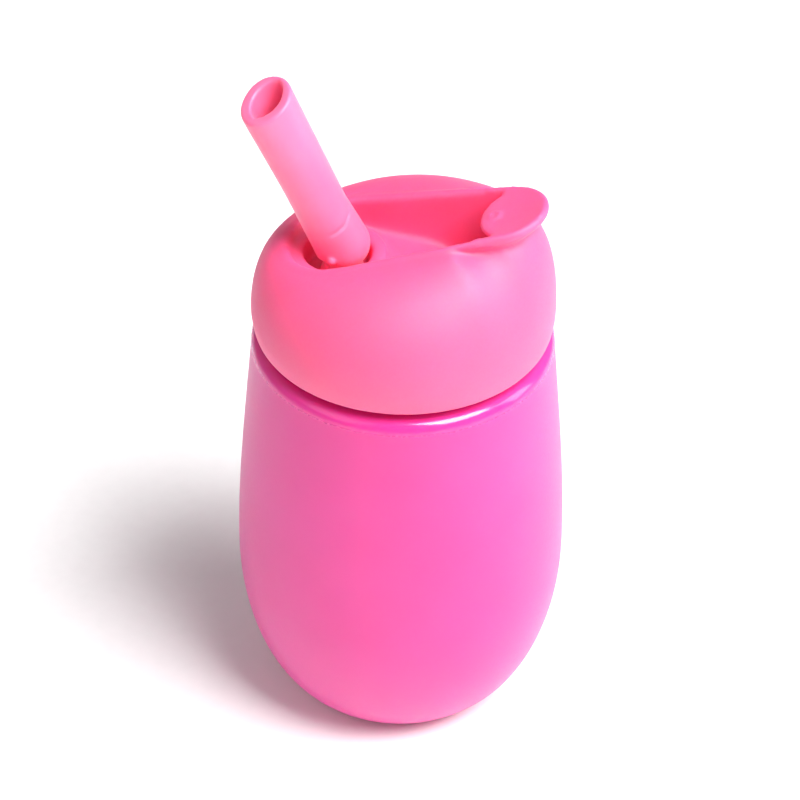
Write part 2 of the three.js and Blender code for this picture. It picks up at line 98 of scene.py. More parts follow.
# lid
LID_EDGE_Z = lid_low.z
LID_MAX_R = lid_high.y
LID_EDGE_R = LID_MAX_R - 0.6
LID_MAX_Z = LID_EDGE_Z + 4.7
LID_BORE_R = 30.6
LID_SEAT_R = 26.4
LID_SEAT_Z = seal_high.z + GAP
LID_WALL = 2.3
ABOVE_LID = 150.0  # height that every cut which opens upwards reaches
BEYOND_X = 40.0  # reach of the trough's cutters along X, past the lid
BEYOND_Y = 20.0  # half their width, past the trough's casing
DOME_FULLNESS = 0.53
DOME_FULLER_AT_TAB = 0.08
DOME_FULLER_INSIDE = 0.07
DOME_ARRIVAL = 0.35
LID_VOXEL = 0.48
LID_ROUNDS = 5  # rounds of smoothing after the remesh
TROUGH_ROUNDS = 14
UNDER_TAB_ROUNDS = 32

# trough in the lid
RIM_STRAW_X = -13.4
RIM_STRAW_R = 14.2
RIM_TAB_X = 21.4
RIM_TAB_R = 9.6
RIM_LOW_Z = 120.3
RIM_CLIMB = 0.313
RIM_CLIMB_X = -25.6
RIM_CLIMB_SOFT = 5.0
RIM_LAND = 0.9
TROUGH_TAPER = 1.9
RIM_ROUND = 0.5
TAB_LIP = 2.6
TAB_OVERHANG = 3.0
TAB_UNDERCUT = 2.5
TAB_END_COSINE = 0.97
TAB_SIDE_COSINE = 0.68
TAB_DISH_R = 7.8
TAB_DISH_DEPTH = 0.8
TAB_RING_R = 1.1
TAB_RING_THICK = 0.28
TAB_RING_INSET = 2.9  # from the tongue's edge to the ring's middle
TAB_RING_SINK = 0.35
TONGUE_X = 25.8
TONGUE_R = 9.4
TONGUE_THICK = 1.8
TONGUE_SLAB_FROM_X = 10.0
POCKET_FROM_X = 20.0
POCKET_LOW_INSET = 1.8
POCKET_TOP_INSET = 4.8
FLOOR_Z = 117.6
FLOOR_DIP = 3.0
FLOOR_DIP_FROM_X = 4.0
FLOOR_DIP_TO_X = 17.0
FLOOR_THICK = 2.0
WELL_X = -14.6
WELL_R = 7.4
WELL_WALL = 1.9
WELL_BOTTOM_Z = 113.5
WELL_UNDER_Z = WELL_BOTTOM_Z - FLOOR_THICK
COLLAR_R = 10.8
COLLAR_Z = FLOOR_Z + 2.0
VENT_X = -19.4
VENT_R = 0.6

# silicone straw
STRAW_X = (tube_low.x + tube_high.x) / 2
STRAW_ROOT_Z = 120.0
STRAW_LEAN = math.radians(22.2)
STRAW_SIDE_LEAN = math.radians(3.4)
STRAW_LENGTH = 43.4
STRAW_R = 5.7
BORE_HALF_LENGTH = 4.7
BORE_HALF_WIDTH = 3.3
BORE_TWIST = math.radians(59)
BULB_R = 5.9
BULB_UP = 1.8
TIP_SLANT = 1.74  # how far the tip's long side stands above its middle
TIP_LONG_SIDE = math.radians(87)
TIP_BACK = 1.41
TIP_FLARE = 0.88  # how far one side of the tube spreads out towards the tip
TIP_FLARE_SIDE = math.radians(230)
TIP_FLARE_LENGTH = 28.0
TIP_SLANT_LENGTH = 12.0
SHOULDER_TOP = 13.5  # distance along the straw where the elbow's flare ends
CREASE_TURNS = (-100, -60, -38, -20, 24, 60)  # degrees round the straw
CREASE_HEIGHTS = (7.9, 8.0, 8.5, 9.5, 10.8, 11.4)  # distance along the straw at each
CREASE_R = 0.42
NUB_PLACE = (-1.32, -5.67, 0.83)
NUB_R = 1.0
STRAW_VOXEL = 0.3
STRAW_ROUNDS = 3
BOOT_NECK_R = 4.3
BOOT_FLANGE_R = boot_high.x - STRAW_X
BOOT_FLANGE_LOW_Z = WELL_UNDER_Z - 1.8
BOOT_FLANGE_TOP_Z = WELL_UNDER_Z - GAP
BOOT_LOW_Z = boot_low.z
NIPPLE_R = 2.9
BOOT_BORE_R = 1.9

# seal and dip tube
SEAL_WIDTH = 3.0
TUBE_WALL = 0.9
TUBE_NOTCH = 4.0  # rise of the slope across the tube's lower end

STRAW_AXIS = Vector((-math.tan(STRAW_LEAN), -math.tan(STRAW_SIDE_LEAN), 1)).normalized()
STRAW_ROOT = Vector((STRAW_X, 0, STRAW_ROOT_Z))


# ---- mesh helpers -------------------------------------------------------------------------------

def new_object(name, points, faces):
    """A mesh object from points in millimetres."""
    mesh = bpy.data.meshes.new(name)
    mesh.from_pydata([Vector(p) * MM for p in points], [], faces)
    obj = bpy.data.objects.new(name, mesh)
    bpy.context.scene.collection.objects.link(obj)
    return obj


def skin(name, rings, joined=False):
    """A closed solid through rings of equal count. Its ends are capped, or joined to each other."""
    count = len(rings[0])
    points = [tuple(p) for ring in rings for p in ring]
    faces = []
    for k in range(len(rings) if joined else len(rings) - 1):
        here = k * count
        above = (k + 1) % len(rings) * count
        for i in range(count):
            after = (i + 1) % count
            faces.append((here + i, here + after, above + after, above + i))
    if not joined:
        low = len(points)
        top = (len(rings) - 1) * count
        points.append(tuple(np.mean(np.array(rings[0], float), axis=0)))
        points.append(tuple(np.mean(np.array(rings[-1], float), axis=0)))
        for i in range(count):
            after = (i + 1) % count
            faces.append((low, after, i))
            faces.append((low + 1, top + i, top + after))
    return new_object(name, points, faces)


def angles(count=AROUND):
    return [2 * math.pi * i / count for i in range(count)]


def circle(radius, z, x=0.0, count=AROUND):
    return [(x + radius * math.cos(a), radius * math.sin(a), z) for a in angles(count)]


def turned(name, profile, x=0.0, count=AROUND, joined=False):
    """A turned solid about the upright line through x. The profile lists (radius, height)."""
    return skin(name, [circle(r, z, x, count) for r, z in profile], joined)


def disc(radius, low, high, x=0.0, count=AROUND):
    return turned("cutter", [(radius, low), (radius, high)], x, count)


def slab(low_at, high_at, from_x, to_x, half_width, steps=60):
    """A solid across Y between two lines given as heights over x."""
    xs = np.linspace(from_x, to_x, steps + 1)
    rings = []
    for x in xs:
        low, high = low_at(x), high_at(x)
        corners = ((half_width, high), (-half_width, high), (-half_width, low), (half_width, low))
        rings.append([(x, y, z) for y, z in corners])
    return skin("cutter", rings)


def bezier(p0, p1, p2, p3, steps):
    t = np.linspace(0, 1, steps + 1)[:, None]
    p0, p1, p2, p3 = (np.array(p, float) for p in (p0, p1, p2, p3))
    return (1 - t) ** 3 * p0 + 3 * t * (1 - t) ** 2 * p1 + 3 * t * t * (1 - t) * p2 + t**3 * p3


def ellipse(x, z, rx, rz, from_deg, to_deg, steps):
    turn = np.radians(np.linspace(from_deg, to_deg, steps + 1))
    return np.stack([x + rx * np.cos(turn), z + rz * np.sin(turn)], 1)


def rounded(points, size, steps=4):
    """The inner points of an open outline, each turned into a small curve. Its ends stay as they are."""
    points = [np.array(p, float) for p in points]
    made = [points[0]]
    for before, at, after in zip(points, points[1:], points[2:]):
        start = at + (before - at) * min(size / np.linalg.norm(before - at), 0.5)
        end = at + (after - at) * min(size / np.linalg.norm(after - at), 0.5)
        for t in np.linspace(0, 1, steps + 1):
            made.append((1 - t) ** 2 * start + 2 * t * (1 - t) * at + t * t * end)
    made.append(points[-1])
    return made


def smoothstep(value, low, high):
    t = min(max((value - low) / (high - low), 0.0), 1.0)
    return t * t * (3 - 2 * t)


def applied(obj):
    """Bakes the object's modifiers into its mesh."""
    bpy.context.view_layer.update()
    graph = bpy.context.evaluated_depsgraph_get()
    mesh = bpy.data.meshes.new_from_object(obj.evaluated_get(graph))
    obj.modifiers.clear()
    old = obj.data
    obj.data = mesh
    bpy.data.meshes.remove(old)
    return obj


def combine(obj, other, operation):
    """Joins, cuts or crosses obj with other, which is used up."""
    change = obj.modifiers.new("combine", "BOOLEAN")
    change.operation = operation
    change.solver = "MANIFOLD"
    change.object = other
    applied(obj)
    bpy.data.objects.remove(other)
    return obj


def cut(obj, *others):
    for other in others:
        combine(obj, other, "DIFFERENCE")
    return obj


def join(obj, *others):
    for other in others:
        combine(obj, other, "UNION")
    return obj


def coordinates(obj):
    flat = np.empty(3 * len(obj.data.vertices))
    obj.data.vertices.foreach_get("co", flat)
    return flat.reshape(-1, 3)


def smooth(obj, rounds, weight=1.0):
    """Moves each vertex towards the mean of its neighbours, as often as rounds says."""
    mesh = obj.data
    count = len(mesh.vertices)
    place = coordinates(obj)
    edges = np.empty(2 * len(mesh.edges), int)
    mesh.edges.foreach_get("vertices", edges)
    a, b = edges.reshape(-1, 2).T
    degree = np.bincount(edges, minlength=count)[:, None]
    for _ in range(rounds):
        total = np.stack(
            [np.bincount(a, place[b, k], count) + np.bincount(b, place[a, k], count) for k in range(3)], 1
        )
        place += 0.5 * weight * (total / degree - place)
    mesh.vertices.foreach_set("co", place.ravel())
    mesh.update()


def remesh(obj, voxel):
    change = obj.modifiers.new("remesh", "REMESH")
    change.mode = "VOXEL"
    change.voxel_size = voxel * MM
    change.adaptivity = 0
    return applied(obj)


def shade_smooth(obj):
    obj.data.polygons.foreach_set("use_smooth", [True] * len(obj.data.polygons))
    obj.data.update()


# ---- screw thread -------------------------------------------------------------------------------

def ridge(angle, z, low_z):
    """How far the thread's ridge stands out of its cylinder at one point."""
    best = 0.0
    turn = angle
    while turn <= THREAD_TURN:
        away = abs(z - low_z - THREAD_PITCH * turn / (2 * math.pi))
        fade = smoothstep(min(turn, THREAD_TURN - turn), 0, math.radians(40))
        best = max(best, fade * (1 - smoothstep(away, THREAD_CREST / 2, THREAD_BASE / 2)))
        turn += 2 * math.pi
    return THREAD_DEPTH * best


def threaded_rings(radius, side, low_z, from_z, to_z):
    """Rings of a cylinder with the thread on it. side is 1 for ridges outwards and -1 for inwards."""
    steps = max(2, round(abs(to_z - from_z) / THREAD_STEP))
    rings = []
    for z in np.linspace(from_z, to_z, steps + 1):
        ring = []
        for a in angles():
            r = radius + side * ridge(a, z, low_z)
            ring.append((r * math.cos(a), r * math.sin(a), z))
        rings.append(ring)
    return rings


# ---- cup body -----------------------------------------------------------------------------------

def cup_side(inset, steps):
    bowl = ellipse(FOOT_R, BELLY_Z, BELLY_R - FOOT_R - inset, BELLY_Z - inset, -90, 0, steps)
    climb = SIDE_FULLNESS * (SHOULDER_Z - BELLY_Z)
    side = bezier(
        (BELLY_R - inset, BELLY_Z),
        (BELLY_R - inset, BELLY_Z + climb),
        (SHOULDER_R - inset + SIDE_TAPER * climb, SHOULDER_Z - climb),
        (SHOULDER_R - inset, SHOULDER_Z),
        steps,
    )
    return [*bowl, *side[1:]]


def make_cup():
    foot = rounded(
        [
            (0.5, FOOT_HOLLOW_DEPTH),
            (FOOT_HOLLOW_R, FOOT_HOLLOW_DEPTH),
            (FOOT_HOLLOW_R + FOOT_HOLLOW_DEPTH, 0),
            (FOOT_R, 0),
        ],
        0.6,
    )
    shoulder = ellipse(SHOULDER_R - SHOULDER_ROUND, SHOULDER_Z, SHOULDER_ROUND, SHOULDER_ROUND, 0, 90, 10)
    root_round = 0.5
    ledge = rounded([shoulder[-1], (NECK_R, LEDGE_Z), (NECK_R, LEDGE_Z + 2 * root_round)], root_round)
    bore_r = NECK_R - NECK_WALL
    mouth_low_z = NECK_TOP_Z - 1.2
    mouth = rounded(
        [(NECK_R, mouth_low_z), (NECK_R, NECK_TOP_Z), (bore_r, NECK_TOP_Z), (bore_r, mouth_low_z)],
        0.6,
    )
    inner_side = [p for p in cup_side(WALL, 48)[::-1] if BASE_THICK + 0.6 < p[1] < SHOULDER_Z - 2]
    inside = rounded(
        [(bore_r, NECK_TOP_Z - 1.4), (bore_r, LEDGE_Z - WALL), inner_side[0], inner_side[1]], 2.5, 8
    )
    floor = rounded([inner_side[-1], (FOOT_R, BASE_THICK), (1.0, BASE_THICK)], 2.0)
    below_neck = [*foot, *cup_side(0, 60)[1:], *shoulder[1:], *ledge[1:]]
    above_neck = [*mouth, *inside, *inner_side[2:-1], *floor]
    neck = threaded_rings(NECK_R, 1, THREAD_LOW_Z, LEDGE_Z + 2 * root_round + 0.1, NECK_TOP_Z - 1.3)
    rings = [circle(r, z) for r, z in below_neck] + neck + [circle(r, z) for r, z in above_neck]
    cup = skin("cup_shell", rings)
    shade_smooth(cup)
    return cup


# ---- lid ----------------------------------------------------------------------------------------

def rim_height(x):
    run = x - RIM_CLIMB_X
    return RIM_LOW_Z + RIM_CLIMB * (run + math.hypot(run, RIM_CLIMB_SOFT)) / 2


def floor_height(x):
    return FLOOR_Z - FLOOR_DIP * smoothstep(x, FLOOR_DIP_FROM_X, FLOOR_DIP_TO_X)


def rim_radius(angle, grow=0.0):
    """Distance from the cup's axis to the rim's outline, moved outwards by grow."""
    dx, dy = math.cos(angle), math.sin(angle)
    straw, tab = RIM_STRAW_R + grow, RIM_TAB_R + grow
    tilt = math.asin((straw - tab) / (RIM_TAB_X - RIM_STRAW_X))
    nx, ny = math.sin(tilt), math.cos(tilt)
    facing = abs(dy) * ny + dx * nx
    line = (RIM_STRAW_X * nx + straw) / facing if facing > 0 else math.inf
    if RIM_STRAW_X + straw * nx < line * dx < RIM_TAB_X + tab * nx:
        return line
    x, r = (RIM_STRAW_X, straw) if dx < 0 else (RIM_TAB_X, tab)
    return x * dx + math.sqrt(r * r - (x * dy) ** 2)


def rim_prism(grow, low, high, taper=0.0):
    def ring(z, change):
        return [
            (rim_radius(a, grow + change) * math.cos(a), rim_radius(a, grow + change) * math.sin(a), z)
            for a in angles()
        ]

    return skin("cutter", [ring(low, -taper), ring(high, 0)])


def tab_share(angle):
    return smoothstep(math.cos(angle), TAB_SIDE_COSINE, TAB_END_COSINE)


def dome_curve(angle, inset, steps):
    """The dome's section at one angle, as (radius, height), from the skirt up to the rim."""
    share = tab_share(angle)
    outline_r = rim_radius(angle)
    top_r = outline_r + RIM_ROUND - (TAB_OVERHANG + RIM_ROUND) * share - inset
    fall = RIM_ROUND + (TAB_LIP + TAB_UNDERCUT - RIM_ROUND) * share
    top_z = rim_height(outline_r * math.cos(angle)) - fall - inset
    skirt_r = LID_MAX_R - inset
    rise = top_z - LID_MAX_Z
    arrival = DOME_ARRIVAL * rise * (outline_r / LID_MAX_R) ** 6
    inside = 1 - (outline_r / LID_MAX_R) ** 2
    bulge = DOME_FULLNESS + DOME_FULLER_AT_TAB * share + DOME_FULLER_INSIDE * inside
    return bezier(
        (skirt_r, LID_MAX_Z),
        (skirt_r, LID_MAX_Z + 0.5 * rise),
        (top_r + bulge * (skirt_r - top_r), top_z - arrival),
        (top_r, top_z),
        steps,
    )


def dome_rings(inset, steps):
    curves = [dome_curve(a, inset, steps) for a in angles()]
    return [
        [(c[k][0] * math.cos(a), c[k][0] * math.sin(a), c[k][1]) for a, c in zip(angles(), curves)]
        for k in range(steps + 1)
    ]


def rim_rings(steps):
    """The rim's edge, from the dome's top round to its crest, fuller at the tab."""
    rings = []
    for turn in np.linspace(-70, 90, steps):
        ring = []
        for a in angles():
            share = tab_share(a)
            half = RIM_ROUND / 2 + (TAB_LIP - RIM_ROUND) / 2 * share
            edge_r = rim_radius(a)
            z = rim_height(edge_r * math.cos(a)) - half + half * math.sin(math.radians(turn))
            r = edge_r - half + half * math.cos(math.radians(turn))
            ring.append((r * math.cos(a), r * math.sin(a), z))
        rings.append(ring)
    return rings


def under_tongue(x):
    return rim_height(x) - TONGUE_THICK


def under_floor(x):
    return floor_height(x) - FLOOR_THICK


def trough_space():
    """All that is open above the trough's floor, inside its walls."""
    lowest = FLOOR_Z - FLOOR_DIP - 1
    top = ABOVE_LID + 1
    space = rim_prism(-RIM_LAND, lowest, ABOVE_LID, TROUGH_TAPER)
    tongue = slab(under_tongue, lambda x: top, TONGUE_SLAB_FROM_X, BEYOND_X, BEYOND_Y)
    combine(tongue, disc(TONGUE_R, lowest - 1, top, TONGUE_X), "INTERSECT")
    tab_end = slab(lambda x: lowest - 1, lambda x: top, POCKET_FROM_X, BEYOND_X, BEYOND_Y, 1)
    taper = POCKET_LOW_INSET - POCKET_TOP_INSET
    cut(tab_end, rim_prism(-POCKET_TOP_INSET, lowest - 1, under_tongue(RIM_TAB_X + RIM_TAB_R), taper))
    cut(
        space,
        slab(lambda x: lowest - 1, floor_height, -BEYOND_X, BEYOND_X, BEYOND_Y),
        disc(COLLAR_R, lowest - 1, COLLAR_Z, WELL_X),
        tongue,
        tab_end,
    )
    return join(space, disc(WELL_R, WELL_BOTTOM_Z, ABOVE_LID, WELL_X))


def trough_casing():
    lowest = FLOOR_Z - FLOOR_DIP - FLOOR_THICK - 1
    casing = rim_prism(LID_WALL - RIM_LAND, lowest, ABOVE_LID, TROUGH_TAPER)
    cut(casing, slab(lambda x: lowest - 1, under_floor, -BEYOND_X, BEYOND_X, BEYOND_Y))
    return join(casing, disc(WELL_R + WELL_WALL, WELL_UNDER_Z, ABOVE_LID, WELL_X))


def tab_dish():
    radius = (TAB_DISH_R**2 + TAB_DISH_DEPTH**2) / (2 * TAB_DISH_DEPTH)
    up = Vector((-RIM_CLIMB, 0, 1)).normalized()
    centre = Vector((RIM_TAB_X, 0, rim_height(RIM_TAB_X))) + (radius - TAB_DISH_DEPTH) * up
    rings = [
        circle(radius * math.sin(turn), centre.z - radius * math.cos(turn), centre.x)
        for turn in (math.radians(degrees) for degrees in np.linspace(0.5, 179.5, 160))
    ]
    return skin("cutter", rings)


def tab_ring():
    """A small moulded ring on the tab, near the trough."""
    x = TONGUE_X - TONGUE_R + TAB_RING_INSET
    z = rim_height(x) - TAB_RING_SINK
    rings = []
    for around in angles(48):
        middle = Vector((math.cos(around), math.sin(around), RIM_CLIMB * math.cos(around)))
        ring = []
        for a in angles(12):
            out = TAB_RING_R + TAB_RING_THICK * math.cos(a)
            up = out * middle.z + TAB_RING_THICK * math.sin(a)
            ring.append((x + out * middle.x, out * middle.y, z + up))
        rings.append(ring)
    return skin("ring", rings[::-1], joined=True)


def lid_bore():
    thread_low_z = THREAD_LOW_Z + THREAD_PITCH / 2
    rings = [circle(LID_BORE_R, LID_EDGE_Z - 1)]
    rings += threaded_rings(LID_BORE_R, -1, thread_low_z, LID_EDGE_Z + 0.2, LID_SEAT_Z)
    return skin("cutter", rings)


def under_tab(place, inward):
    """1 on the dome's outside under the tab's overhang, fading to 0 at its sides, lip and skirt."""
    turn = np.degrees(np.abs(np.arctan2(place[:, 1], place[:, 0])))
    rim_z = np.array([rim_height(x) for x in place[:, 0]])
    outside = np.clip(0.5 - inward, 0, 1)
    below_lip = np.clip((rim_z - 1.2 - place[:, 2]) / 1.5, 0, 1)
    above_skirt = np.clip((place[:, 2] - 114) / 6, 0, 1)
    return np.clip((65 - turn) / 20, 0, 1) * outside * below_lip * above_skirt


def make_lid():
    edge_round = 0.7
    edge = [
        circle(LID_EDGE_R - edge_round * (1 - math.sin(t)), LID_EDGE_Z + edge_round * (1 - math.cos(t)))
        for t in np.radians([0, 20, 40, 60, 80])
    ]
    skirt_low = [
        circle(LID_EDGE_R + (LID_MAX_R - LID_EDGE_R) * t**0.7, LID_EDGE_Z + 0.8 + 3.4 * t)
        for t in np.linspace(0.05, 0.95, 8)
    ]
    lid = skin("lid_dome", edge + skirt_low + dome_rings(0, 48) + rim_rings(8))
    hollow = skin("cutter", [circle(LID_MAX_R - LID_WALL, LID_EDGE_Z)] + dome_rings(LID_WALL, 32))
    combine(hollow, disc(LID_SEAT_R, LID_EDGE_Z, ABOVE_LID), "INTERSECT")
    cut(hollow, trough_casing())
    cut(
        lid,
        hollow,
        lid_bore(),
        trough_space(),
        tab_dish(),
        disc(BOOT_NECK_R + GAP, WELL_UNDER_Z - 1, WELL_BOTTOM_Z + 1, STRAW_X, 64),
        disc(VENT_R, WELL_UNDER_Z - 1, WELL_BOTTOM_Z + 1, VENT_X, 32),
    )
    join(lid, tab_ring())
    remesh(lid, LID_VOXEL)
    place = coordinates(lid) / MM
    outline = np.array([rim_radius(a) for a in np.arctan2(place[:, 1], place[:, 0])])
    inward = outline - np.hypot(place[:, 0], place[:, 1])
    above_floor = place[:, 2] > FLOOR_Z - FLOOR_DIP - 0.8
    before_tongue = place[:, 0] < TONGUE_X - TONGUE_R
    in_trough = (inward > 1.2) & above_floor & before_tongue
    smooth(lid, LID_ROUNDS)
    smooth(lid, TROUGH_ROUNDS, weight=in_trough[:, None].astype(float))
    smooth(lid, UNDER_TAB_ROUNDS, weight=under_tab(place, inward)[:, None])
    shade_smooth(lid)
    return lid


# ---- silicone straw -----------------------------------------------------------------------------

STRAW_TURN = Vector((0, 0, 1)).rotation_difference(STRAW_AXIS).to_matrix()


def twisted(x, y):
    c, s = math.cos(BORE_TWIST), math.sin(BORE_TWIST)
    return x * c - y * s, x * s + y * c


def eye(grow=0.0, count=32):
    """The bore's outline: two arcs that meet in sharp corners."""
    half, wide = BORE_HALF_LENGTH + grow, BORE_HALF_WIDTH + grow
    radius = (half * half + wide * wide) / (2 * wide)
    sweep = math.asin(half / radius)
    outline = []
    for side in (1, -1):
        for a in np.linspace(sweep, -sweep, count, endpoint=False):
            outline.append(
                twisted(side * radius * math.sin(a), side * (wide - radius + radius * math.cos(a)))
            )
    return outline


def straw_outline(inset, along, count=96):
    flare = TIP_FLARE * smoothstep(along, STRAW_LENGTH - TIP_FLARE_LENGTH, STRAW_LENGTH)
    outline = []
    for a in angles(count):
        radius = STRAW_R - inset + flare * max(0.0, math.cos(a - TIP_FLARE_SIDE)) ** 2
        outline.append((radius * math.cos(a), radius * math.sin(a)))
    return outline


def slanted(points, along):
    """A section near the tip, which is longer at one side than at the other."""
    share = smoothstep(along, STRAW_LENGTH - TIP_SLANT_LENGTH, STRAW_LENGTH)
    long_x, long_y = math.cos(TIP_LONG_SIDE), math.sin(TIP_LONG_SIDE)

    def place(x, y):
        longer = TIP_SLANT * (x * long_x + y * long_y) / STRAW_R - TIP_BACK
        return STRAW_ROOT + STRAW_TURN @ Vector((x, y, along + share * longer))

    return [place(x, y) for x, y in points]


def straw_tube():
    tip_round = 0.55
    heights = np.linspace(1.0, STRAW_LENGTH - tip_round, 60)
    rings = [slanted(straw_outline(0, along), along) for along in heights]
    for turn in np.radians([25, 50, 75, 90]):
        inset = tip_round * (1 - math.cos(turn))
        along = STRAW_LENGTH - tip_round * (1 - math.sin(turn))
        rings.append(slanted(straw_outline(inset, along), along))
    return skin("straw", rings)


def straw_shoulder():
    """The flared side of the elbow, from the bulb up to the tube."""
    low = STRAW_ROOT + Vector((0, 0, BULB_UP))
    high = STRAW_ROOT + SHOULDER_TOP * STRAW_AXIS
    turn = Vector((0, 0, 1)).rotation_difference((high - low).normalized()).to_matrix()
    rings = []
    for t in np.linspace(0, 1, 16):
        radius = BULB_R + (STRAW_R - 0.15 - BULB_R) * t
        flat = [Vector((radius * math.cos(a), radius * math.sin(a), 0)) for a in angles(96)]
        rings.append([low.lerp(high, t) + turn @ p for p in flat])
    return skin("shoulder", rings)


def straw_crease():
    """A shallow groove round the side of the elbow, where the tube meets its shoulder."""
    rings = []
    for turn in np.linspace(-100, 60, 48):
        share = smoothstep(turn, -80, 30)
        fade = smoothstep(turn, -100, -70) * (1 - smoothstep(turn, 35, 60))
        along = np.interp(turn, CREASE_TURNS, CREASE_HEIGHTS)
        reach = STRAW_R + 0.15 + 0.35 * share + 0.5 * (1 - fade)
        phi = math.radians(turn)
        ring = []
        for a in angles(12):
            out = reach + CREASE_R * math.cos(a)
            up = along + CREASE_R * math.sin(a)
            ring.append(STRAW_ROOT + STRAW_TURN @ Vector((out * math.cos(phi), out * math.sin(phi), up)))
        rings.append(ring[::-1])
    return skin("crease", rings)


def sphere(centre, radius, count=64):
    rings = [
        [
            (
                centre[0] + radius * math.sin(turn) * math.cos(a),
                centre[1] + radius * math.sin(turn) * math.sin(a),
                centre[2] - radius * math.cos(turn),
            )
            for a in angles(count)
        ]
        for turn in np.radians(np.linspace(2, 178, count // 2))
    ]
    return skin("sphere", rings)


def straw_stem():
    profile = rounded(
        [
            (1.0, BOOT_LOW_Z),
            (NIPPLE_R, BOOT_LOW_Z),
            (NIPPLE_R, BOOT_FLANGE_LOW_Z),
            (BOOT_FLANGE_R, BOOT_FLANGE_LOW_Z),
            (BOOT_FLANGE_R, BOOT_FLANGE_TOP_Z),
            (BOOT_NECK_R, BOOT_FLANGE_TOP_Z),
            (BOOT_NECK_R, WELL_BOTTOM_Z + GAP),
            (BOOT_NECK_R + 0.8, WELL_BOTTOM_Z + 0.8),
            (BOOT_NECK_R, WELL_BOTTOM_Z + 2.4),
            (BOOT_NECK_R, STRAW_ROOT_Z + BULB_UP),
            (1.0, STRAW_ROOT_Z + BULB_UP),
        ],
        0.35,
    )
    return turned("stem", profile, STRAW_X, 96)


def make_straw():
    straw = straw_tube()
    join(
        straw,
        straw_shoulder(),
        sphere(STRAW_ROOT + Vector((0, 0, BULB_UP)), BULB_R),
        straw_stem(),
        sphere(STRAW_ROOT + Vector(NUB_PLACE), NUB_R, 24),
    )
    bore = [slanted(eye(), along) for along in np.linspace(4.0, STRAW_LENGTH - 0.8, 40)]
    # The bore's mouth: how much wider it is, and how far past the tip.
    bore_lip = ((0.06, -0.4), (0.25, 0), (0.5, 0.3), (0.5, 3))
    bore += [slanted(eye(grow), STRAW_LENGTH + up) for grow, up in bore_lip]
    cut(
        straw,
        skin("cutter", bore),
        disc(BOOT_BORE_R, 0, STRAW_ROOT_Z + 5, STRAW_X, 48),
        straw_crease(),
    )
    remesh(straw, STRAW_VOXEL)
    smooth(straw, STRAW_ROUNDS)
    shade_smooth(straw)
    return straw


# ---- seal and dip tube --------------------------------------------------------------------------

def make_seal():
    inner = -seal_low.x - SEAL_WIDTH
    outer = -seal_low.x
    outline = [(inner, seal_low.z), (outer, seal_low.z), (outer, seal_high.z), (inner, seal_high.z)]
    start = ((inner + outer) / 2, seal_low.z)
    profile = rounded([start, outline[1], outline[2], outline[3], outline[0], start], 0.5, 6)[:-1]
    seal = turned("seal_ring", profile, joined=True)
    shade_smooth(seal)
    return seal


def make_dip_tube():
    outer = (tube_high.x - tube_low.x) / 2
    inner = outer - TUBE_WALL
    slope = TUBE_NOTCH / (2 * outer)
    lip = 0.3
    rings = []
    levels = [
        (inner, tube_low.z + lip, True),
        (inner + lip, tube_low.z, True),
        (outer - lip, tube_low.z, True),
        (outer, tube_low.z + lip, True),
        (outer, tube_high.z - lip, False),
        (outer - lip, tube_high.z, False),
        (inner + lip, tube_high.z, False),
        (inner, tube_high.z - lip, False),
    ]
    for radius, z, sloped in levels:
        ring = circle(radius, z, STRAW_X, 64)
        if sloped:
            ring = [(x, y, up + slope * (x - STRAW_X + outer)) for x, y, up in ring]
        rings.append(ring)
    tube = skin("dip_pipe", rings, joined=True)
    shade_smooth(tube)
    return tube


# ---- materials ----------------------------------------------------------------------------------

